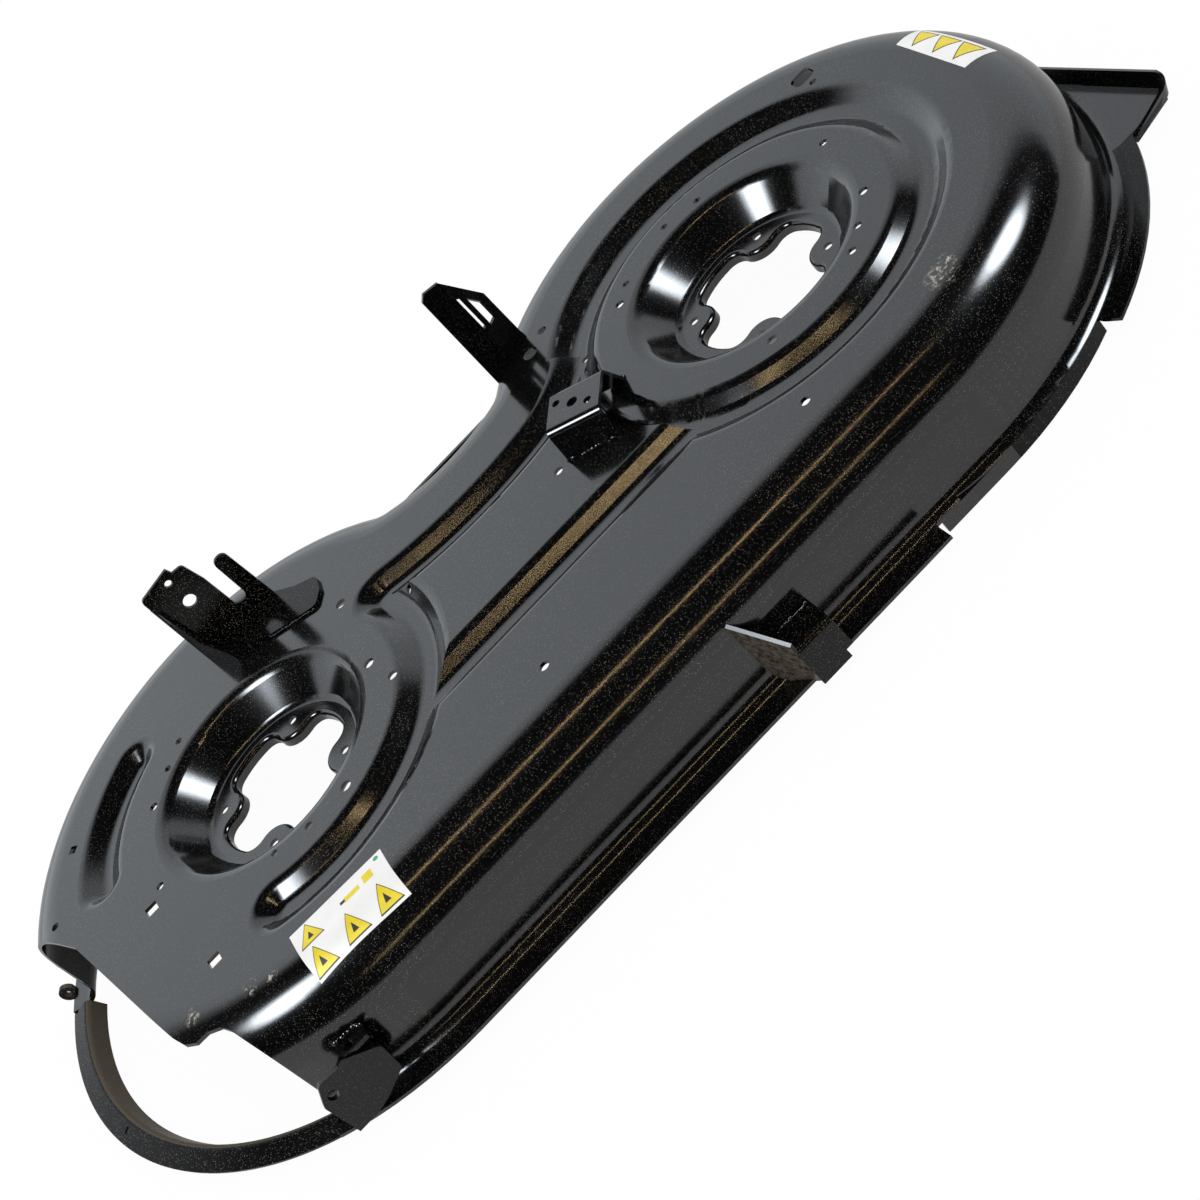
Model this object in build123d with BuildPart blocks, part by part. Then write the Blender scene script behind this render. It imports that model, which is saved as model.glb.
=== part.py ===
from build123d import *
from math import atan2, cos, degrees, hypot, radians, sin, tan
import os

os.makedirs("parts", exist_ok=True)

# Driving dimensions, in millimetres
# The first spindle stands at the origin, the flat top is at height 0 and the rear is +Y
PITCH = 490.0
SHEET = 2.7
LEFT_R = 241.0
RIGHT_R = 245.0
FRONT_WALL = 246.0
LIP_R = 267.8
FRONT_LIP = 270.0
LIP_TOP = -90.5
TOP_BEND = 46.0
FOOT_BEND = 13.0
WAIST_X = 245.0
WAIST_Y = 258.0
WAIST_R = 123.0
WAIST_BLEND = 17.0
WELD_GAP = 0.05
CUT_LIFT = 0.02

# Spindle recesses
RECESS_R = 92.0
RECESS_DEPTH = 26.2
RECESS_SLOPE = 50.0
RECESS_RIM = 14.0
RECESS_FOOT = 10.0
BOLT_R = 57.11
BOLT_HOLE_R = 3.75
BOLT_ANGLES = (57.97, 58.53)
LOBE_R = 57.5
EAR_R = 17.0
LOBE_BLEND = 12.0
OPENING_BEND = 3.6
OPENING_FOOT = -35.0

# Sunk grooves
GROOVE_DEPTH = 10.0
GROOVE_SLOPE = 36.0
GROOVE_RIM = 13.0
GROOVE_R = 148.0
SIDE_R = 152.5
GROOVE_WIDTH = 42.0
CHANNEL_WIDTH = 39.0
REAR_WIDTH = 36.5


def grown(slope):
    """Sideways step that keeps a wall bent to this slope at one sheet thickness."""
    return SHEET * tan(radians(slope) / 2)


def plan_lip_edge(edge):
    """True for an edge that lies on the outer line of the lip."""
    middle = edge @ 0.5
    centre_x = min(max(middle.X, 0), PITCH)
    return hypot(middle.X - centre_x, middle.Y) > LIP_R - 3 or abs(middle.X - WAIST_X) < 1


# Plan outlines of the wall outside, the wall inside and the lip
plans = {}
for plan_name, step, left, front in (
    ("skin", 0.0, LEFT_R, FRONT_WALL),
    ("core", -SHEET, LEFT_R, FRONT_WALL),
    ("lip", LIP_R - RIGHT_R, RIGHT_R, FRONT_LIP - (LIP_R - RIGHT_R)),
):
    with BuildSketch() as plan:
        with Locations((PITCH / 2, -(front + step) / 2 + 75)):
            Rectangle(PITCH, front + step + 150)
        with Locations((WAIST_X, WAIST_Y)):
            Circle(WAIST_R - step, mode=Mode.SUBTRACT)
        for centre_x, radius in ((0, left), (PITCH, RIGHT_R)):
            with Locations((centre_x, 0), (centre_x, radius - front)):
                Circle(radius + step)
        with Locations((-(left + step) / 2, (left - front) / 2)):
            Rectangle(left + step, front - left)
        with Locations((PITCH + (RIGHT_R + step) / 2, (RIGHT_R - front) / 2)):
            Rectangle(RIGHT_R + step, front - RIGHT_R)
        if step <= 0:
            corners = plan.vertices().filter_by(lambda v: 150 < v.X < 340 and v.Y > 60)
            fillet(corners, WAIST_BLEND - step)
    plans[plan_name] = plan.sketch

# Centre lines of the grooves, each with its top width and whether its ends are rounded
# They run together into one sunk network
rear_line = ThreePointArc((148, 45), (225, 32), (300, 37.5))
rear_turn = TangentArc((300, 37.5), (376, 93), tangent=rear_line % 1)
GROOVES = (
    (CenterArc((PITCH, 0), GROOVE_R, 219, 286), GROOVE_WIDTH, False),
    (Line((113, -96.2), (380, -96.2)), CHANNEL_WIDTH, True),
    (rear_line, REAR_WIDTH, True),
    (rear_turn, REAR_WIDTH, True),
    (CenterArc((0, 0), GROOVE_R, 253.5, 123), GROOVE_WIDTH, True),
    (CenterArc((0, 0), SIDE_R, 122, 43), REAR_WIDTH, True),
)

# Skin and core are the outside and the inside of the sheet, formed by the same steps
bodies = {}
for body_name, drop in (("skin", 0.0), ("core", SHEET)):
    with BuildPart() as body:
        with BuildSketch(Plane.XY.offset(LIP_TOP - SHEET - drop)):
            add(plans[body_name])
        extrude(amount=SHEET - LIP_TOP)
        fillet(body.edges().group_by(Axis.Z)[-1], TOP_BEND - drop)
        bend = tan(radians(GROOVE_SLOPE) / 2)
        lean = cos(radians(GROOVE_SLOPE))
        rise = sin(radians(GROOVE_SLOPE))
        rim = GROOVE_RIM - drop
        foot = GROOVE_RIM - SHEET + drop
        for path, width, rounded in GROOVES:
            half_top = width / 2 + bend * drop
            half_floor = half_top - GROOVE_DEPTH / tan(radians(GROOVE_SLOPE))
            for along, turn in ((0, 180), (1, -180)):
                end = path @ along
                ahead = path % along
                place = Plane((end.X, end.Y, CUT_LIFT - drop), x_dir=(-ahead.Y, ahead.X, 0), z_dir=ahead)
                with BuildSketch(place) as half:
                    with BuildLine():
                        floor = Line((0, -GROOVE_DEPTH), (half_floor - foot * bend, -GROOVE_DEPTH))
                        foot_end = (half_floor + foot * bend * lean, -GROOVE_DEPTH + foot * bend * rise)
                        foot_arc = TangentArc(floor @ 1, foot_end, tangent=floor % 1)
                        rim_start = (half_top - rim * bend * lean, -rim * bend * rise)
                        wall = Line(foot_arc @ 1, rim_start)
                        rim_arc = TangentArc(wall @ 1, (half_top + rim * bend, 0), tangent=wall % 1)
                        Polyline(rim_arc @ 1, (0, 0), (0, -GROOVE_DEPTH))
                    make_face()
                if rounded:
                    revolve(axis=Axis((end.X, end.Y, 0), (0, 0, 1)), revolution_arc=turn, mode=Mode.SUBTRACT)
            with BuildSketch(place) as whole:
                add(half.sketch_local)
                mirror(about=Plane.YZ)
            if path.geom_type == GeomType.CIRCLE:
                middle = Axis((path.arc_center.X, path.arc_center.Y, 0), (0, 0, 1))
                sweep_angle = degrees(path.length / path.radius)
                revolve(axis=middle, revolution_arc=-sweep_angle, mode=Mode.SUBTRACT)
            else:
                extrude(amount=-path.length, mode=Mode.SUBTRACT)
        with BuildSketch(Plane.XY.offset(-drop)) as rims:
            for centre_x in (0, PITCH):
                with Locations((centre_x, 0)):
                    Circle(RECESS_R + tan(radians(RECESS_SLOPE) / 2) * drop)
        extrude(amount=-RECESS_DEPTH, taper=90 - RECESS_SLOPE, mode=Mode.SUBTRACT)
        recess_edges = body.edges(Select.LAST).filter_by(GeomType.CIRCLE)
        fillet(recess_edges.filter_by_position(Axis.Z, -drop - 0.1, -drop + 0.1), RECESS_RIM - drop)
        low = body.edges().filter_by(GeomType.CIRCLE)
        low = low.filter_by_position(Axis.Z, -drop - RECESS_DEPTH - 0.1, -drop - RECESS_DEPTH + 0.1)
        fillet(low, RECESS_FOOT - SHEET + drop)
    bodies[body_name] = body.part

# Plan of the cut that opens the discharge side, from the rear wall round to the front wall
DISCHARGE = (
    (-400, 141), (-227, 80), (-207, 45.4), (-185.5, 3.6), (-150.4, -157), (-146.4, -168.1), (-139, -175.2),
    (-127.9, -179.1), (-118.3, -185.9), (-114.4, -192.8), (-110.8, -205.1), (-105.5, -222.3), (-190, -400.3),
)
UPTURN_FROM = Vector(774, -97, LIP_TOP - SHEET)
UPTURN_TO = Vector(741, 36, LIP_TOP - SHEET)

# Punched holes, each with its centre and radius
ROUND_HOLES = (
    (40.2, -103.6, 4.5), (4.1, -105, 3.5), (-25.8, -97.8, 2.75), (104.2, -16.4, 4.25), (111.6, -49.5, 4),
    (132.4, -103.3, 2.75), (115.8, 69.5, 4.5), (159.1, 23.7, 3), (-42.8, 101.3, 3), (-60.6, 84.5, 3),
    (-84.2, 60.7, 3.5), (-108, -21.7, 3.25), (191.4, -174.6, 4), (293.1, -21.3, 3.75), (453.2, -102.1, 4),
    (430.4, -180, 4), (534.3, -97, 3.5), (552, -80, 3.25), (576, -54.9, 3.75), (596.2, 28.9, 3.25),
    (513.3, 103.1, 3), (483.1, 111.2, 3), (430.8, 93, 3), (415.5, 78.9, 3.75), (365.5, 136.4, 4),
    (369.3, 76, 3.25), (346.3, 124.3, 6.25), (375.3, -117.6, 3), (636.6, 101, 3), (-192.8, 43.3, 3.5),
)
SQUARE_HOLES = ((-121.1, -34.9, 10, 0), (-98.5, -135.2, 10, 0), (-155, 102.3, 7, 45))

# Piece 1: the stamped shell
with BuildPart() as deck_shell:
    add(bodies["skin"])
    with BuildSketch(Plane.XY.offset(LIP_TOP - SHEET)):
        add(plans["lip"])
    extrude(amount=SHEET)
    feet = deck_shell.edges().filter_by_position(Axis.Z, LIP_TOP - 0.01, LIP_TOP + 0.01)
    feet = feet.filter_by(lambda e: not plan_lip_edge(e))
    fillet(feet, FOOT_BEND)
    add(bodies["core"], mode=Mode.SUBTRACT)
    brim = deck_shell.edges().group_by(Axis.Z)[0].filter_by(lambda e: not plan_lip_edge(e))
    fillet(brim, FOOT_BEND + SHEET)
    # Plain turned-down edge where the lip is notched away at the front
    with BuildSketch(Plane.XY.offset(LIP_TOP - 12)) as notch_zone:
        with Locations((PITCH, RIGHT_R - FRONT_WALL)):
            Circle(LIP_R + 20)
            Circle(RIGHT_R + 7, mode=Mode.SUBTRACT)
        with BuildLine():
            Polyline((PITCH, 0), (PITCH - 60, -400), (PITCH + 200, -400), (PITCH + 139, -280), (PITCH, 0))
        make_face(mode=Mode.INTERSECT)
        with Locations((PITCH - 30, -(FRONT_WALL + 7) - 20)):
            Rectangle(60, 40)
    extrude(amount=30, mode=Mode.SUBTRACT)
    with BuildSketch(Plane.XY.offset(LIP_TOP - 11.5)):
        with Locations((PITCH, RIGHT_R - FRONT_WALL)):
            Circle(RIGHT_R + 7)
            Circle(RIGHT_R + 7 - SHEET, mode=Mode.SUBTRACT)
        with BuildLine():
            Polyline((PITCH, 0), (PITCH, -400), (PITCH + 200, -400), (PITCH + 139, -280), (PITCH, 0))
        make_face(mode=Mode.INTERSECT)
        with Locations((PITCH - 28, -(FRONT_WALL + 7) + SHEET / 2)):
            Rectangle(56, SHEET)
    extrude(amount=11.5)
    # Wing beside the closed end, with its upturned edge
    with BuildSketch(Plane.XY.offset(LIP_TOP - SHEET)):
        with BuildLine():
            Polyline((744, 8), (757, -28), (774, -97), (768, -102), (732, -113), (715, -110), (744, 8))
        make_face()
    extrude(amount=SHEET)
    upturn_length = (UPTURN_FROM - UPTURN_TO).length
    upturn_dir = (UPTURN_TO - UPTURN_FROM).normalized()
    upturn_out = Vector(upturn_dir.Y, -upturn_dir.X, 0)
    with BuildSketch(Plane(UPTURN_FROM, x_dir=upturn_out, z_dir=-upturn_dir)) as upturn:
        with BuildLine():
            Polyline((0, 0), (4.3, 14.5), (7, 13.7), (2.9, 0), (0, 0))
        make_face()
    extrude(amount=-upturn_length)
    with Locations(Location((753, -107.5, LIP_TOP - SHEET - 1.5), (0, 0, 14.7))):
        Box(40, SHEET, 6)
    # Discharge opening
    with BuildSketch(Plane.XY.offset(LIP_TOP - 20)):
        with BuildLine():
            Polyline((-400, -400), *DISCHARGE, (-400, -400))
        make_face()
    extrude(amount=200, mode=Mode.SUBTRACT)
    # Four-lobed spindle openings with a turned-down edge, and the bolt holes round them
    for centre_x, bolt_angle in zip((0, PITCH), BOLT_ANGLES):
        for grow, low, high, how in (
            (SHEET, OPENING_FOOT, -RECESS_DEPTH - SHEET / 2, Mode.ADD),
            (0, OPENING_FOOT - 10, 10, Mode.SUBTRACT),
        ):
            with BuildSketch(Plane.XY.offset(low)) as opening:
                with Locations((centre_x, 0)):
                    Circle(LOBE_R + grow)
                    with PolarLocations(BOLT_R, 4, start_angle=bolt_angle):
                        Circle(EAR_R - grow, mode=Mode.SUBTRACT)
                fillet(opening.vertices().filter_by(lambda v: v.X < centre_x + 57.4), LOBE_BLEND + grow)
            extrude(amount=high - low, mode=how)
        rim = deck_shell.edges().filter_by_position(Axis.Z, -RECESS_DEPTH - 0.01, -RECESS_DEPTH + 0.01)
        rim = rim.filter_by(lambda e: hypot((e @ 0.5).X - centre_x, (e @ 0.5).Y) < LOBE_R + 1)
        fillet(rim, OPENING_BEND)
        with Locations((centre_x, 0, 0)):
            with PolarLocations(BOLT_R, 4, start_angle=bolt_angle):
                Cylinder(BOLT_HOLE_R, 100, mode=Mode.SUBTRACT)
    # Punched holes in the top
    for x, y, radius in ROUND_HOLES:
        with Locations((x, y, 0)):
            Cylinder(radius, 60, mode=Mode.SUBTRACT)
    for x, y, side, turn in SQUARE_HOLES:
        with Locations(Location((x, y, 0), (0, 0, turn))):
            Box(side, side, 60, mode=Mode.SUBTRACT)
    with BuildSketch(Plane.XY.offset(-60)):
        with Locations((636.4, 117.3)):
            RectangleRounded(18, 16, 5)
    extrude(amount=80, mode=Mode.SUBTRACT)
deck_shell.part.label = "deck_shell"

# Piece 2: the hoop round the discharge opening, an angle ring with its leg turned down
HOOP_OUT = 268.5
HOOP_RIDGE = 250.5
HOOP_IN = 244.0
HOOP_RIDGE_TOP = -86.8
HOOP_EDGE = -92.5
HOOP_FOOT = -102.0
HOOP_FROM = 160.62
HOOP_ARC = 83.97
with BuildPart() as discharge_hoop:
    hoop_dir = (cos(radians(HOOP_FROM)), sin(radians(HOOP_FROM)), 0)
    hoop_plane = Plane((0, 0, 0), x_dir=hoop_dir, z_dir=(hoop_dir[1], -hoop_dir[0], 0))
    with BuildSketch(hoop_plane) as angle:
        with BuildLine() as angle_line:
            Polyline((HOOP_IN, HOOP_FOOT), (HOOP_RIDGE, HOOP_RIDGE_TOP), (HOOP_OUT, HOOP_EDGE))
            fillet(angle_line.vertices().sort_by(Axis.Y)[-1:], 5)
            offset(amount=SHEET, side=Side.RIGHT)
        make_face()
    revolve(axis=Axis.Z, revolution_arc=HOOP_ARC)
    with Locations(Location((-249.8, -69.9, LIP_TOP), (0, 0, 16))):
        Box(5, 2.5, 20, mode=Mode.SUBTRACT)
discharge_hoop.part.label = "discharge_hoop"

# Piece 3: the eye, a small ring that stands on the edge of the lip
EYE_ANGLE = degrees(atan2(114.5, -249.3))
EYE_R = 7.5
eye_dir = Vector(cos(radians(EYE_ANGLE)), sin(radians(EYE_ANGLE)), 0)
eye_middle = eye_dir * (LIP_R + EYE_R - 0.8)
with BuildPart() as hoop_eye:
    eye_plane = Plane((eye_middle.X, eye_middle.Y, LIP_TOP), x_dir=eye_dir, z_dir=(-eye_dir.Y, eye_dir.X, 0))
    with BuildSketch(eye_plane):
        Circle(EYE_R)
        Circle(2.8, mode=Mode.SUBTRACT)
        with Locations((-EYE_R + 0.8 - 5, 0)):
            Rectangle(10, 20, mode=Mode.SUBTRACT)
    extrude(amount=2, both=True)
hoop_eye.part.label = "hoop_eye"

# Piece 4: the hinge plate in front of the front wall
with BuildPart() as hinge_plate:
    with BuildSketch(Plane.XZ.offset(252)) as plate:
        with BuildLine():
            Polyline(
                (-94.3, -40.6), (-103.2, -57), (-102.1, LIP_TOP), (-80, LIP_TOP), (-52.8, -78.6),
                (-49.8, -54.3), (-72.5, -39.5), (-77.3, -42.4), (-94.3, -40.6),
            )
        make_face()
        fillet(plate.vertices().filter_by(lambda v: v.X < -90 and v.Y > LIP_TOP + 1), 6)
        fillet(plate.vertices().filter_by(lambda v: -55 < v.X < -49 and v.Y < -50), 5)
        with Locations((-93, -54.5)):
            Circle(4, mode=Mode.SUBTRACT)
    extrude(amount=4)
    with BuildSketch(Plane.XY.offset(-45)):
        with Locations((-61, -241)):
            Rectangle(22, 26)
    extrude(amount=3.5)
    with Locations((-64, -248, -43)):
        Cylinder(4, 20, mode=Mode.SUBTRACT)
    add(bodies["skin"], mode=Mode.SUBTRACT)
    add(deck_shell.part, mode=Mode.SUBTRACT)
    add(hinge_plate.solids().sort_by(SortBy.VOLUME)[-1], mode=Mode.REPLACE)
hinge_plate.part.label = "hinge_plate"

# Piece 5: the folded hanger on the front wall: a face, a shelf and a gusset bent back to the wall
HANGER = 3.0
gusset_dir = Vector(288 - 307, -246 + 274, 0).normalized()
with BuildPart() as front_hanger:
    with BuildSketch(Plane((307, -274, 0), x_dir=gusset_dir, z_dir=(gusset_dir.Y, -gusset_dir.X, 0))) as gusset:
        with BuildLine():
            Polyline((0, -56), (34, -30), (40, -30), (40, -93), (0, -93), (0, -56))
        make_face()
    extrude(amount=HANGER)
    with BuildSketch(Plane.YZ.offset(307)) as shelf:
        with BuildLine():
            Polyline((-240, -62), (-274, -62), (-274, -97), (-271, -97), (-271, -65), (-240, -65), (-240, -62))
        make_face()
        fillet(shelf.vertices().filter_by(lambda v: v.X < -273 and v.Y > -63), 5)
        fillet(shelf.vertices().filter_by(lambda v: -272 < v.X < -270 and v.Y > -66), 2)
    extrude(amount=31)
    with Locations((338, -274, -97)):
        Box(12, 12, 14, mode=Mode.SUBTRACT)
    add(bodies["skin"], mode=Mode.SUBTRACT)
    add(deck_shell.part, mode=Mode.SUBTRACT)
    add(front_hanger.solids().sort_by(SortBy.VOLUME)[-1], mode=Mode.REPLACE)
front_hanger.part.label = "front_hanger"

# Piece 6: the bent bracket between the two recesses
BRACKET_PLATE = 3.0
BRACKET_TOP = 28.0
bracket_along = Vector(36.4, -25.8, 0).normalized()
bracket_across = Vector(-bracket_along.Y, bracket_along.X, 0)
with BuildPart() as centre_bracket:
    side_plane = Plane((304.7, -21.0, 0), x_dir=bracket_across, z_dir=bracket_along)
    with BuildSketch(side_plane) as side:
        with BuildLine():
            Polyline((-4.6, -10), (0, BRACKET_TOP), (39.7, BRACKET_TOP), (64, -10), (-4.6, -10))
        make_face()
        fillet(side.vertices().filter_by(lambda v: v.Y > 20), 6)
        offset(amount=-BRACKET_PLATE, mode=Mode.SUBTRACT)
        with Locations((30, -10)):
            Rectangle(90, 20, mode=Mode.SUBTRACT)
    extrude(amount=44.6)
    for x, y, radius in ((325.7, -2.1, 3.25), (333.7, -16.1, 4.5), (341.4, -28.9, 3.25)):
        with Locations((x, y, BRACKET_TOP)):
            Cylinder(radius, 10, mode=Mode.SUBTRACT)
centre_bracket.part.label = "centre_bracket"

# Piece 7: the upright plate with its side flange and foot, behind the first recess
with BuildPart() as rear_right_bracket:
    with BuildSketch(Plane.XZ.offset(-151)) as upright:
        with BuildLine():
            Polyline(
                (13.4, 0), (12.4, 77.3), (42.6, 81.8), (44.3, 75.7), (53, 74.8), (56.5, 53.3),
                (57.5, 18), (68.6, 18), (68.6, 58), (80.7, 58.5), (83, 0), (13.4, 0),
            )
        make_face()
        fillet(upright.vertices().filter_by(lambda v: v.X > 60 and v.Y > 50), 5.5)
        fillet(upright.vertices().filter_by(lambda v: v.X > 57 and 17 < v.Y < 19), 5)
        fillet(upright.vertices().filter_by(lambda v: v.X > 52 and v.Y > 70), 4)
        fillet(upright.vertices().filter_by(lambda v: v.X < 13 and v.Y > 70), 4)
        with Locations((36.3, 72)):
            Circle(3, mode=Mode.SUBTRACT)
        with Locations((36.9, 49.5)):
            Circle(5.5, mode=Mode.SUBTRACT)
    extrude(amount=BRACKET_PLATE)
    with BuildSketch() as foot:
        with BuildLine():
            Polyline((13.4, 150), (83, 150), (97.8, 133), (115, 120.4), (111, 102.3), (101, 90), (30, 122), (13.4, 150))
        make_face()
        fillet(foot.vertices().filter_by(lambda v: v.X > 90), 6)
        fillet(foot.vertices().filter_by(lambda v: v.Y < 123 and v.X < 40), 8)
    extrude(amount=BRACKET_PLATE)
    with BuildSketch(Plane((13.4, 148, 0), x_dir=(16.6, -26, 0), z_dir=(-26, -16.6, 0))) as side_flange:
        with BuildLine():
            Polyline((-3, 0), (-3, 66), (3, 60), (9, 22), (26, 8), (30, 0), (-3, 0))
        make_face()
    extrude(amount=-BRACKET_PLATE)
rear_right_bracket.part.label = "rear_right_bracket"

# Piece 8: the windowed hanger behind the waist, bent back along its right side
with BuildPart() as rear_left_hanger:
    with BuildSketch(Plane.XZ.offset(-149)) as hanger:
        with BuildLine():
            Polyline((314.5, -40), (316, 82), (321, 87), (334.5, 85), (334.5, -40), (314.5, -40))
        make_face()
    extrude(amount=BRACKET_PLATE)
    with BuildSketch(Plane((334.5, 146, 0), x_dir=(0.8, 0.6, 0), z_dir=(0.6, -0.8, 0))) as wing_sheet:
        with BuildLine():
            Polyline((0, -40), (0, 85), (26, 44), (27, -40), (0, -40))
        make_face()
        with BuildLine():
            Polyline((2, 30), (2, 64), (7, 60), (7, 30), (2, 30))
        make_face(mode=Mode.SUBTRACT)
        with BuildLine():
            Polyline((10, 26), (10, 56), (19, 42), (19, 26), (10, 26))
        make_face(mode=Mode.SUBTRACT)
    extrude(amount=-BRACKET_PLATE)
    add(bodies["skin"], mode=Mode.SUBTRACT)
    add(deck_shell.part, mode=Mode.SUBTRACT)
    add(rear_left_hanger.solids().sort_by(SortBy.VOLUME)[-1], mode=Mode.REPLACE)
rear_left_hanger.part.label = "rear_left_hanger"

# Piece 9: the label on the front bend
LABEL_FILM = 0.15
under_front = bodies["skin"].moved(Location((0, -0.02, 0.03)))
moved_front = bodies["skin"].moved(Location((0, -0.1, 0.03 + LABEL_FILM)))
with BuildPart() as label_a:
    with BuildSketch(Plane.XY.offset(-20)):
        with BuildLine():
            Polyline((-47, -179.7), (34.5, -184), (32.4, -228.7), (-48, -224.7), (-47, -179.7))
        make_face()
    extrude(amount=30)
    add(moved_front, mode=Mode.INTERSECT)
    add(under_front, mode=Mode.SUBTRACT)
label_a.part.label = "label_a"

# Piece 10: the label on the bend at the closed end
under_right = bodies["skin"].moved(Location((0.02, 0, 0.03)))
moved_right = bodies["skin"].moved(Location((0.1, 0, 0.03 + LABEL_FILM)))
with BuildPart() as label_b:
    with BuildSketch(Plane.XY.offset(-20)):
        with BuildLine():
            Polyline((688.2, 50.5), (711.4, 57.1), (715.9, -37.7), (689.6, -39.4), (688.2, 50.5))
        make_face()
    extrude(amount=30)
    add(moved_right, mode=Mode.INTERSECT)
    add(under_right, mode=Mode.SUBTRACT)
label_b.part.label = "label_b"

# The row's origin is the middle of the first bolt circle, on the floor of its recess
FRAME = Location((0, 0, RECESS_DEPTH))
for piece in (
    deck_shell, discharge_hoop, hoop_eye, hinge_plate, front_hanger, centre_bracket,
    rear_right_bracket, rear_left_hanger, label_a, label_b,
):
    export_step(piece.part.moved(FRAME), "parts/" + piece.part.label + ".step")
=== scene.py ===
import math
import random

import bpy
from mathutils import Matrix, Vector


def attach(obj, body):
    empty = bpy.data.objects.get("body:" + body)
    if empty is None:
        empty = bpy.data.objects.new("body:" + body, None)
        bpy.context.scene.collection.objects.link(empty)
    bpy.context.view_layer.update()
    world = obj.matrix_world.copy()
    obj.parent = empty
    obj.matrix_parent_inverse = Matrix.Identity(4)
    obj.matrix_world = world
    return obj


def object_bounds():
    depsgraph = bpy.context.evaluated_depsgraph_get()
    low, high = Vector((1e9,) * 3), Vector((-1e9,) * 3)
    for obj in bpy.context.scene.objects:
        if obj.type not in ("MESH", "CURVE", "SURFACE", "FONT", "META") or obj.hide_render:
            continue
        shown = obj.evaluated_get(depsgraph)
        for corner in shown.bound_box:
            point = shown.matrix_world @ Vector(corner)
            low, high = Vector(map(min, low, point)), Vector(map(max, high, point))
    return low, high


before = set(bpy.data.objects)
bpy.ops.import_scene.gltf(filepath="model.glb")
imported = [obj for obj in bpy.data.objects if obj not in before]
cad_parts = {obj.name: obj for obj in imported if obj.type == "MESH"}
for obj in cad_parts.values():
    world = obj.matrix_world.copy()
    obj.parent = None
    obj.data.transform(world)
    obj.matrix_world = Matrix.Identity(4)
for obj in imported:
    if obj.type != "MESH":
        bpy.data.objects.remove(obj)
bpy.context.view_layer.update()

# Heights in this file are written from the flat top, as in the CAD source; the row frame lies lower
TOP = 0.0262
MM = 0.001


def at(x, y, z):
    """A point written in millimetres from the flat top, in the row frame."""
    return Vector((x * MM, y * MM, z * MM + TOP))


# Materials
def new_material(name):
    mat = bpy.data.materials.new(name)
    mat.use_nodes = True
    tree = mat.node_tree
    return mat, tree, tree.nodes["Principled BSDF"]


def add_node(tree, kind, **values):
    """A node with its settings; in_2 is the default of its input 2."""
    node = tree.nodes.new(kind)
    for key, value in values.items():
        if key.startswith("in_"):
            node.inputs[int(key[3:])].default_value = value
        else:
            setattr(node, key, value)
    return node


def ramp(tree, source, stops):
    """A ramp over a value; each stop is a place and a grey level or a colour."""
    node = tree.nodes.new("ShaderNodeValToRGB")
    elements = node.color_ramp.elements
    while len(elements) > 1:
        elements.remove(elements[-1])
    for index, (place, value) in enumerate(stops):
        if index:
            element = elements.new(place)
        else:
            element = elements[0]
            element.position = place
        element.color = value if isinstance(value, tuple) else (value, value, value, 1)
    tree.links.new(source, node.inputs[0])
    return node.outputs[0]


def near(tree, position, spot, radius):
    """1 at a point of the deck, 0 beyond a radius in millimetres round it."""
    away = add_node(tree, "ShaderNodeVectorMath", operation="DISTANCE")
    away.inputs[1].default_value = at(*spot)
    tree.links.new(position, away.inputs[0])
    fall = add_node(tree, "ShaderNodeMapRange", in_1=radius * MM, in_2=0.0, in_3=0.0, in_4=1.0)
    tree.links.new(away.outputs["Value"], fall.inputs[0])
    return fall.outputs[0]


def maths(tree, operation, *terms):
    """A maths node; each term is a number or the output of another node."""
    node = add_node(tree, "ShaderNodeMath", operation=operation)
    for place, value in enumerate(terms):
        if isinstance(value, (int, float)):
            node.inputs[place].default_value = value
        else:
            tree.links.new(value, node.inputs[place])
    return node.outputs[0]


def product(tree, *factors):
    """All the factors multiplied, from the first to the last."""
    result = factors[0]
    for factor in factors[1:]:
        result = maths(tree, "MULTIPLY", result, factor)
    return result


def plan_dot(tree, one, two):
    """Dot product in plan of two split vectors."""
    return maths(tree, "ADD", product(tree, one[0], two[0]), product(tree, one[1], two[1]))


PAINT_COLOUR = (0.0016, 0.0017, 0.002, 1)
DUST_COLOUR = (0.4, 0.34, 0.26, 1)
SCUFF_COLOUR = (0.46, 0.42, 0.35, 1)
# Dust and scuffs are dull: their strength times this is the least roughness
DULLNESS = 0.6

# Where the paint is scuffed: a point of the deck and a radius, in millimetres
SCUFFS = (
    ((548, -191, 0), 15),
    ((556, -186, 0), 11),
    ((-130.5, -161, 0), 8),
    ((-86, -186, 0), 8),
    ((-70, -194, 0), 6),
)
SCUFF_GAIN = 1.6

# Inside of the skirt at the discharge end: faces that turn inward, away from the first spindle
INNER_TURN = -0.03
INNER_FROM_SQUARED = 0.036
INNER_X_BELOW = 0.1
INNER_SHADE = 0.9

# Outer lip at the closed end, in metres of the row frame
LIP_Z_BELOW = -0.0625
LIP_X_ABOVE = 0.5
LIP_Y_BELOW = -0.11
LIP_SHADE = 0.75


def grains(tree, position, scale, sizes, kept):
    """Round grains between two sizes, of which only a share is kept."""
    cells = add_node(tree, "ShaderNodeTexVoronoi", in_2=scale)
    tree.links.new(position, cells.inputs["Vector"])
    full, gone = sizes
    none_below, some_from, strength = kept
    dots = ramp(tree, cells.outputs["Distance"], ((0.0, 1.0), (full, 1.0), (gone, 0.0)))
    share = ramp(tree, cells.outputs["Color"], ((0.0, 0.0), (none_below, 0.0), (some_from, strength)))
    return product(tree, dots, share)


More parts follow.
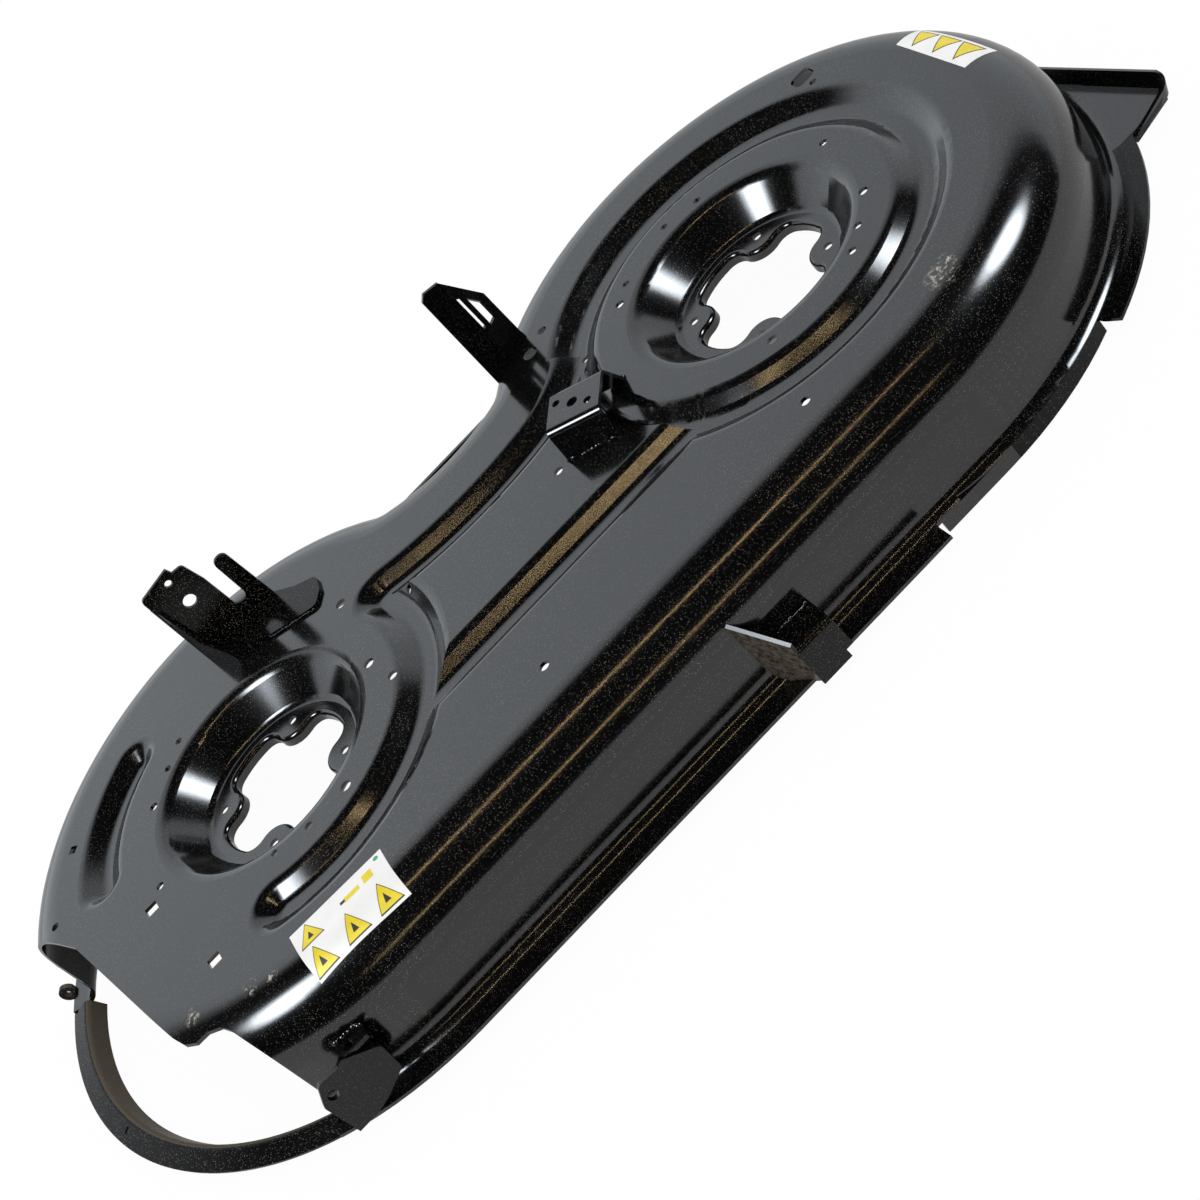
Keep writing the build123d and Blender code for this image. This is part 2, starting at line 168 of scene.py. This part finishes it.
def coated_face(tree, normal, scratch, direction):
    """A thick, streaky coat of dust on the one face that looks in a direction."""
    turned = add_node(tree, "ShaderNodeVectorMath", operation="DOT_PRODUCT")
    turned.inputs[1].default_value = Vector(direction).normalized()
    tree.links.new(normal, turned.inputs[0])
    faced = ramp(tree, turned.outputs["Value"], ((0.0, 0.0), (0.75, 0.0), (0.9, 1.0)))
    return product(tree, faced, ramp(tree, scratch, ((0.35, 0.02), (0.65, 0.3))))


def inner_wall(tree, place, normal):
    """1 on the inside of the skirt at the discharge end."""
    inward = maths(tree, "LESS_THAN", plan_dot(tree, place, normal), INNER_TURN)
    far_out = maths(tree, "GREATER_THAN", plan_dot(tree, place, place), INNER_FROM_SQUARED)
    return product(tree, inward, far_out, maths(tree, "LESS_THAN", place[0], INNER_X_BELOW))


def outer_lip(tree, place):
    """1 on the outer lip at the closed end."""
    low = maths(tree, "LESS_THAN", place[2], LIP_Z_BELOW)
    at_end = maths(tree, "GREATER_THAN", place[0], LIP_X_ABOVE)
    return product(tree, low, at_end, maths(tree, "LESS_THAN", place[1], LIP_Y_BELOW))


def scuffed(tree, position, scratch):
    """Strength of the scuffs, broken up by scratches."""
    spots = 0.0
    for spot, radius in SCUFFS:
        spots = maths(tree, "MAXIMUM", spots, near(tree, position, spot, radius))
    scar = ramp(tree, scratch, ((0.0, 0.0), (0.52, 0.0), (0.6, 1.0)))
    return product(tree, maths(tree, "MINIMUM", product(tree, spots, SCUFF_GAIN), 1.0), scar)


def blend(tree, share, below, above):
    """Two colours mixed by a share; each is a colour or the output of another node."""
    node = add_node(tree, "ShaderNodeMix", data_type="RGBA")
    tree.links.new(share, node.inputs[0])
    for place, value in ((6, below), (7, above)):
        if isinstance(value, tuple):
            node.inputs[place].default_value = value
        else:
            tree.links.new(value, node.inputs[place])
    return node.outputs[2]


def gloss_black(name, dust_level, rough, shine=0.95, cover=0.25, dusty_face=None, inner_dust=0.0):
    """Black gloss paint with fine settled dust in patches and a few scuffs."""
    mat, tree, shader = new_material(name)
    link = tree.links.new
    position = add_node(tree, "ShaderNodeTexCoord").outputs["Object"]
    shape = add_node(tree, "ShaderNodeNewGeometry")
    normal = add_node(tree, "ShaderNodeSeparateXYZ")
    place = add_node(tree, "ShaderNodeSeparateXYZ")
    link(shape.outputs["Normal"], normal.inputs[0])
    link(position, place.inputs[0])
    wide = add_node(tree, "ShaderNodeTexNoise", in_2=14.0, in_3=4.0, in_4=0.6)
    peel = add_node(tree, "ShaderNodeTexNoise", in_2=420.0, in_3=2.0, in_4=0.5)
    scratch = add_node(tree, "ShaderNodeTexNoise", in_2=240.0, in_3=6.0, in_4=0.75)
    for node in (wide, peel, scratch):
        link(position, node.inputs["Vector"])

    coarse = grains(tree, position, 560.0, (0.14, 0.21), (0.62, 0.66, 1.0))
    fine = grains(tree, position, 1000.0, (0.2, 0.3), (0.55, 0.6, 0.8))
    patch = ramp(tree, wide.outputs[0], ((0.0, cover), (0.42, cover + 0.1), (0.62, 1.0)))
    # Steeper faces hold more dust than the flat top
    slope = ramp(tree, normal.outputs[2], ((0.0, 1.0), (0.9, 1.0), (0.985, 0.85)))
    dust = product(tree, maths(tree, "MAXIMUM", coarse, fine), patch, dust_level, slope)
    if dusty_face:
        coat = coated_face(tree, shape.outputs["Normal"], scratch.outputs[0], dusty_face)
        dust = maths(tree, "MAXIMUM", dust, coat)
    inside = inner_wall(tree, place.outputs, normal.outputs)
    dust = maths(tree, "MAXIMUM", dust, product(tree, inside, inner_dust))
    scuff = scuffed(tree, position, scratch.outputs[0])
    dusty = blend(tree, dust, PAINT_COLOUR, DUST_COLOUR)
    link(blend(tree, scuff, dusty, SCUFF_COLOUR), shader.inputs["Base Color"])

    base_rough = ramp(tree, wide.outputs[0], ((0.3, rough), (0.75, rough * 1.5)))
    dull = product(tree, maths(tree, "MAXIMUM", dust, scuff), DULLNESS)
    link(maths(tree, "MAXIMUM", dull, base_rough), shader.inputs["Roughness"])
    bump = add_node(tree, "ShaderNodeBump", in_0=0.03, in_1=0.0003)
    link(peel.outputs[0], bump.inputs["Height"])
    link(bump.outputs[0], shader.inputs["Normal"])

    # Both shaded places shine less
    lip = outer_lip(tree, place.outputs)
    shade = maths(tree, "MAXIMUM", product(tree, inside, INNER_SHADE), product(tree, lip, LIP_SHADE))
    gloss = maths(tree, "SUBTRACT", 1.0, shade)
    link(product(tree, gloss, shine), shader.inputs["Specular IOR Level"])
    return mat


def mottled(name, scale, stops, rough):
    """A smooth surface whose colour drifts a little."""
    mat, tree, shader = new_material(name)
    coords = add_node(tree, "ShaderNodeTexCoord")
    noise = add_node(tree, "ShaderNodeTexNoise", in_2=scale, in_3=3.0)
    tree.links.new(coords.outputs["Object"], noise.inputs["Vector"])
    tree.links.new(ramp(tree, noise.outputs[0], stops), shader.inputs["Base Color"])
    shader.inputs["Roughness"].default_value = rough
    return mat


def print_colour(name, colour, rough):
    darker = tuple(c * 0.9 for c in colour) + (1,)
    return mottled(name, 120.0, ((0.35, darker), (0.65, colour + (1,))), rough)


BLACK = gloss_black("gloss_black", 0.42, 0.115, cover=0.35)
FOOT = gloss_black("foot_black", 0.5, 0.12, shine=0.22, cover=0.6)
DUSTY = gloss_black("dusty_black", 0.7, 0.2, shine=0.12, cover=0.8, inner_dust=0.3)
PLATE = gloss_black("plate_black", 0.2, 0.1, shine=0.5, cover=0.3)
HANGER = gloss_black("hanger_black", 0.4, 0.12, shine=0.4, cover=0.4, dusty_face=(-0.73, -0.62, -0.28))
WELD = gloss_black("weld_black", 0.2, 0.05)
LABEL = mottled("label_white", 60.0, ((0.3, (0.88, 0.88, 0.87, 1)), (0.7, (0.94, 0.94, 0.93, 1))), 0.35)
YELLOW = print_colour("label_yellow", (0.9, 0.72, 0.01), 0.35)
INK = print_colour("label_ink", (0.02, 0.02, 0.02), 0.4)
GREEN = print_colour("label_green", (0.02, 0.45, 0.2), 0.35)

PAINT = {
    "label_a": LABEL,
    "label_b": LABEL,
    "discharge_hoop": DUSTY,
    "hoop_eye": DUSTY,
    "front_hanger": HANGER,
    "hinge_plate": PLATE,
    "rear_right_bracket": FOOT,
    "rear_left_hanger": PLATE,
}
for name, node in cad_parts.items():
    node.data.materials.clear()
    node.data.materials.append(PAINT.get(name, BLACK))


def new_piece(name, verts, faces, mat, smooth=True):
    """A mesh that rides with the deck."""
    mesh = bpy.data.meshes.new(name)
    mesh.from_pydata([tuple(v) for v in verts], [], faces)
    mesh.update()
    obj = bpy.data.objects.new(name, mesh)
    bpy.context.collection.objects.link(obj)
    mesh.materials.append(mat)
    for face in mesh.polygons:
        face.use_smooth = smooth
    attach(obj, "root")
    return obj


# Printed fields on the labels: plain shapes laid a hair above the film, in layers of these heights
UNDER, MIDDLE, OVER = 0.06, 0.12, 0.18
PRINT_RINGS = 8
EDGE_STEPS = 6
DROP_FROM = 40


def on_label(corners, a, b):
    """Point of a label at a part of its length and a part of its width, before it is dropped on the film."""
    p, q, r, t = (Vector(c) for c in corners)
    return p * (1 - a) * (1 - b) + q * a * (1 - b) + r * a * b + t * (1 - a) * b


def print_shape(name, film, corners, outline, mat, lift):
    """A plain printed shape: an outline in parts of the label, cut fine and dropped onto the film."""
    middle = Vector((sum(p[0] for p in outline), sum(p[1] for p in outline))) / len(outline)
    edge = []
    for here, there in zip(outline, outline[1:] + outline[:1]):
        edge += [Vector(here).lerp(Vector(there), k / EDGE_STEPS) for k in range(EDGE_STEPS)]
    rings = [[middle.lerp(e, (ring + 1) / PRINT_RINGS) for e in edge] for ring in range(PRINT_RINGS)]
    verts = []
    for spot in [middle] + [e for ring in rings for e in ring]:
        high = at(*on_label(corners, spot[0], spot[1]), DROP_FROM)
        hit, place, normal, _ = film.ray_cast(high, Vector((0, 0, -1)))
        verts.append(place + normal * lift * MM if hit else high - Vector((0, 0, DROP_FROM * MM)))
    n = len(edge)
    faces = [(0, 1 + i, 1 + (i + 1) % n) for i in range(n)]
    for ring in range(PRINT_RINGS - 1):
        low = 1 + ring * n
        for i in range(n):
            faces.append((low + i, low + n + i, low + n + (i + 1) % n, low + (i + 1) % n))
    return new_piece(name, verts, faces, mat)


def triangle(a, b, long, wide):
    return [(a, b - wide * 0.58), (a + long / 2, b + wide * 0.42), (a - long / 2, b + wide * 0.42)]


def rectangle(a, b, long, wide):
    sides = ((-1, -1), (1, -1), (1, 1), (-1, 1))
    return [(a + along * long / 2, b + across * wide / 2) for along, across in sides]


LABEL_A = ((-47, -179.7), (34.5, -184), (32.4, -228.7), (-48, -224.7))
LABEL_B = ((688.2, 50.5), (711.4, 57.1), (715.9, -37.7), (689.6, -39.4))
film_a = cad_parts["label_a"]
film_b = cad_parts["label_b"]
for index, (a, b) in enumerate(((0.16, 0.28), (0.13, 0.78), (0.49, 0.77), (0.83, 0.78))):
    print_shape(f"sign_a_rim_{index}", film_a, LABEL_A, triangle(a, b, 0.25, 0.44), INK, UNDER)
    print_shape(f"sign_a_{index}", film_a, LABEL_A, triangle(a, b, 0.225, 0.395), YELLOW, MIDDLE)
    print_shape(f"sign_a_bar_{index}", film_a, LABEL_A, triangle(a, b + 0.03, 0.06, 0.15), INK, OVER)
twelfths = [t * math.pi / 6 for t in range(12)]
dot = [(0.93 + 0.026 * math.cos(t), 0.09 + 0.045 * math.sin(t)) for t in twelfths]
print_shape("sign_a_dot", film_a, LABEL_A, dot, GREEN, UNDER)
fields = (
    (0.62, 0.3, 0.16, 0.1, YELLOW),
    (0.8, 0.26, 0.1, 0.18, YELLOW),
    (0.52, 0.3, 0.05, 0.06, INK),
)
for index, (a, b, long, wide, ink) in enumerate(fields):
    print_shape(f"sign_a_field_{index}", film_a, LABEL_A, rectangle(a, b, long, wide), ink, UNDER)
for index, b in enumerate((0.2, 0.5, 0.79)):
    pointed = [(0.9, b - 0.14), (0.9, b + 0.14), (0.1, b)]
    inner = [(0.86, b - 0.12), (0.86, b + 0.12), (0.18, b)]
    print_shape(f"sign_b_rim_{index}", film_b, LABEL_B, pointed, INK, UNDER)
    print_shape(f"sign_b_{index}", film_b, LABEL_B, inner, YELLOW, MIDDLE)


# The wing's turned-up edge, in millimetres: its corner's arc, its straight run and its height along them
WING_FLOOR = -93.2
CORNER = (767.2, -98.7)
CORNER_R = 7
CORNER_STEPS = 13
RUN = 36
RUN_STEPS = 12
RUN_WAY = (-0.967, -0.254)
HIGH, LOW, END = 14.5, 9.5, 5.0
LEAN = 0.3


def wing_corner():
    """Rounded corner of the wing's turned-up edge, running down along its front end."""
    verts, faces = [], []
    first, last = math.atan2(0.241, 0.971), math.atan2(RUN_WAY[0], -RUN_WAY[1])
    steps = CORNER_STEPS + RUN_STEPS + 1
    for index in range(steps):
        bend = min(index / CORNER_STEPS, 1)
        run = max(index - CORNER_STEPS, 0) / RUN_STEPS
        turn = first + (last - first) * bend
        out_x, out_y = math.cos(turn), math.sin(turn)
        x = CORNER[0] + CORNER_R * out_x + RUN_WAY[0] * RUN * run
        y = CORNER[1] + CORNER_R * out_y + RUN_WAY[1] * RUN * run
        high = HIGH + (LOW - HIGH) * bend + (END - LOW) * run
        section = ((0, 0), (LEAN * high, high), (0.28 * high + 2.5, high - 0.8), (2.9, 0))
        for out, up in section:
            verts.append(at(x + out_x * out, y + out_y * out, WING_FLOOR + up))
    for index in range(steps - 1):
        for side in range(4):
            a = index * 4 + side
            b = index * 4 + (side + 1) % 4
            faces.append((a, b, b + 4, a + 4))
    faces.append((0, 1, 2, 3))
    faces.append(tuple(range(len(verts) - 4, len(verts))))
    return new_piece("wing_corner", verts, faces, BLACK, False)


wing_corner()


def waist_strip():
    """Thin strip across the hollow of the waist, behind the deck."""
    low, high = at(201, 141, -44), at(289, 144, -20.5)
    verts = [(x, y, z) for x in (low.x, high.x) for y in (low.y, high.y) for z in (low.z, high.z)]
    faces = [(0, 1, 3, 2), (4, 6, 7, 5), (0, 4, 5, 1), (2, 3, 7, 6), (0, 2, 6, 4), (1, 5, 7, 3)]
    return new_piece("waist_strip", verts, faces, BLACK, False)


waist_strip()


# Weld beads: drops of uneven size, a part of their radius apart
DROP_PITCH = 0.75
DROP_SIZES = (0.65, 1.25)
DROP_STRAY = 0.35
DROP_ROWS = 6
DROP_COLS = 10


def weld(name, start, end, radius, seed):
    """A bead of overlapping drops from one point to another."""
    rng = random.Random(seed)
    start, end = at(*start), at(*end)
    drops = max(3, int((end - start).length / (radius * MM * DROP_PITCH)))
    verts, faces = [], []
    for index in range(drops):
        middle = start.lerp(end, index / (drops - 1))
        size = radius * MM * rng.uniform(*DROP_SIZES)
        stray = [rng.uniform(-DROP_STRAY, DROP_STRAY) * radius * MM for _ in range(3)]
        middle = middle + Vector(stray)
        base = len(verts)
        for row in range(DROP_ROWS + 1):
            for col in range(DROP_COLS):
                up = math.pi * row / DROP_ROWS
                turn = 2 * math.pi * col / DROP_COLS
                flat = math.sin(up)
                step = Vector((flat * math.cos(turn), flat * math.sin(turn), math.cos(up)))
                verts.append(middle + step * size)
        for row in range(DROP_ROWS):
            for col in range(DROP_COLS):
                a = base + row * DROP_COLS + col
                b = base + row * DROP_COLS + (col + 1) % DROP_COLS
                faces.append((a, a + DROP_COLS, b + DROP_COLS, b))
    return new_piece(name, verts, faces, WELD)


weld("weld_centre", (303, -21.5, 0.5), (336, -45, 0.5), 2.6, 1)
weld("weld_centre_rear", (366, 8, 0.5), (373, 3, 0.5), 2.0, 2)
weld("weld_hinge", (-71, -237.5, -41), (-51, -240.5, -42), 2.6, 3)
weld("weld_front_shelf", (310, -247, -62), (336, -247, -62), 1.6, 4)
weld("weld_rear_foot", (60, 108.5, 0.5), (98, 91.5, 0.5), 1.0, 5)


# The floor and the lamps are seen by the first reflection only, not by a reflection of a reflection
FIRST_BOUNCE = 1.5


def first_bounce(tree, path):
    return maths(tree, "LESS_THAN", path.outputs["Glossy Depth"], FIRST_BOUNCE)


def floor_material():
    """Pale floor, white where the camera and the reflections see it."""
    mat, tree, shader = new_material("floor_pale")
    link = tree.links.new
    shader.inputs["Base Color"].default_value = (0.95, 0.95, 0.95, 1)
    shader.inputs["Roughness"].default_value = 0.9
    path = add_node(tree, "ShaderNodeLightPath")
    white = add_node(tree, "ShaderNodeEmission", in_0=(1, 1, 1, 1), in_1=1.0)
    # Reflections see the floor darker than the camera does
    level = maths(tree, "SUBTRACT", 1.0, product(tree, path.outputs["Is Glossy Ray"], 0.4))
    link(product(tree, level, first_bounce(tree, path)), white.inputs[1])
    seen = product(tree, path.outputs["Is Camera Ray"], 0.97)
    share = maths(tree, "MAXIMUM", seen, path.outputs["Is Glossy Ray"])
    mix = add_node(tree, "ShaderNodeMixShader")
    link(share, mix.inputs[0])
    link(shader.outputs[0], mix.inputs[1])
    link(white.outputs[0], mix.inputs[2])
    # Seen from below, the floor lets the view through
    shape = add_node(tree, "ShaderNodeNewGeometry")
    clear = add_node(tree, "ShaderNodeBsdfTransparent")
    sides = add_node(tree, "ShaderNodeMixShader")
    link(shape.outputs["Backfacing"], sides.inputs[0])
    link(mix.outputs[0], sides.inputs[1])
    link(clear.outputs[0], sides.inputs[2])
    link(sides.outputs[0], tree.nodes["Material Output"].inputs["Surface"])
    return mat


# Middle of the deck's length, in metres, under which the floor and the lamps are centred
MIDDLE_X = 0.245
FLOOR_GAP = 0.0005

floor_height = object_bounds()[0][2] - FLOOR_GAP
bpy.ops.mesh.primitive_plane_add(size=12, location=(MIDDLE_X, 0, floor_height))
floor = bpy.context.object
floor.name = "floor"
floor.data.materials.append(floor_material())


# World: even white light, and for reflections a pale backdrop behind the deck and a dark room above and before it
PALE = (0.98, 1.04, 1.1, 1)
DIM = (0.003, 0.003, 0.004, 1)

world = bpy.data.worlds.new("studio")
bpy.context.scene.world = world
world.use_nodes = True
tree = world.node_tree
background = tree.nodes["Background"]
coords = add_node(tree, "ShaderNodeTexCoord")
split = add_node(tree, "ShaderNodeSeparateXYZ")
tree.links.new(coords.outputs["Generated"], split.inputs[0])
around = maths(tree, "ARCTAN2", split.outputs[2], split.outputs[1])
share = maths(tree, "DIVIDE", around, math.pi)
room = ramp(tree, share, ((0.0, PALE), (0.255, PALE), (0.325, DIM), (0.985, DIM), (1.0, PALE)))
# The backdrop darkens towards the closed end
across = maths(tree, "MULTIPLY_ADD", split.outputs[0], 0.5, 0.5)
sideways = ramp(tree, across, ((0.0, 1.0), (0.42, 1.0), (0.66, 0.7)))
fall = add_node(tree, "ShaderNodeMix", data_type="RGBA", blend_type="MULTIPLY")
fall.inputs[0].default_value = 1.0
tree.links.new(room, fall.inputs[6])
tree.links.new(sideways, fall.inputs[7])
path = add_node(tree, "ShaderNodeLightPath")
light = blend(tree, path.outputs["Is Glossy Ray"], (1, 1, 1, 1), fall.outputs[2])
tree.links.new(light, background.inputs[0])
background.inputs[1].default_value = 1.0


# Soft lamps that only reflections see
def lamp(name, direction, distance, width, height, strength, colour, edge, uneven=False):
    """A glowing card turned to the deck, brightest in its middle and fading to its edges."""
    direction = Vector(direction).normalized()
    place = Vector((MIDDLE_X, 0, 0)) + direction * distance
    bpy.ops.mesh.primitive_plane_add(size=2, location=place)
    obj = bpy.context.object
    obj.name = name
    obj.scale = (width / 2, height / 2, 1)
    obj.rotation_euler = direction.to_track_quat("Z", "Y").to_euler()
    mat, tree, _ = new_material(name)
    link = tree.links.new
    coords = add_node(tree, "ShaderNodeTexCoord")
    away = add_node(tree, "ShaderNodeVectorMath", operation="LENGTH")
    link(coords.outputs["Object"], away.inputs[0])
    fade = ramp(tree, away.outputs["Value"], ((0.0, 1.0), (edge, 1.0), (1.0, 0.0)))
    glow = add_node(tree, "ShaderNodeEmission", in_0=colour + (1,))
    path = add_node(tree, "ShaderNodeLightPath")
    if uneven:
        noise = add_node(tree, "ShaderNodeTexNoise", in_2=3.5, in_3=2.0)
        link(coords.outputs["Object"], noise.inputs["Vector"])
        fade = product(tree, fade, ramp(tree, noise.outputs[0], ((0.42, 0.5), (0.58, 1.0))))
    link(product(tree, fade, strength, first_bounce(tree, path)), glow.inputs[1])
    link(glow.outputs[0], tree.nodes["Material Output"].inputs["Surface"])
    obj.data.materials.append(mat)
    obj.visible_camera = False
    obj.visible_diffuse = False
    obj.visible_shadow = False
    obj.visible_transmission = False
    return obj


WARM = (1.0, 0.72, 0.36)
COOL = (0.86, 0.93, 1.0)
lamp("softbox_left", (-0.6, -0.22, 0.77), 2.5, 1.1, 1.3, 26, COOL, 0.3)
lamp("softbox_right", (0.74, -0.18, 0.65), 2.5, 1.0, 1.2, 26, COOL, 0.3)
lamp("lamp_overhead", (-0.06, -0.245, 0.97), 2.6, 2.8, 0.03, 34, WARM, 0.5, uneven=True)
lamp("lamp_front", (-0.03, -0.865, 0.5), 2.6, 2.4, 0.03, 17, WARM, 0.6)


# Camera, fitted to the photograph
camera_data = bpy.data.cameras.new("camera")
camera_data.sensor_width = 36
camera_data.lens = 69.321
camera = bpy.data.objects.new("camera", camera_data)
bpy.context.collection.objects.link(camera)
turn = Matrix(
    (
        (0.692447, 0.721413, -0.008982),
        (-0.413739, 0.386866, -0.824108),
        (-0.591048, 0.574367, 0.566361),
    )
)
camera.matrix_world = Matrix.Translation(at(233.595, -1398.402, 845.187)) @ turn.to_4x4()
bpy.context.scene.camera = camera
bpy.context.scene.view_settings.view_transform = "Standard"
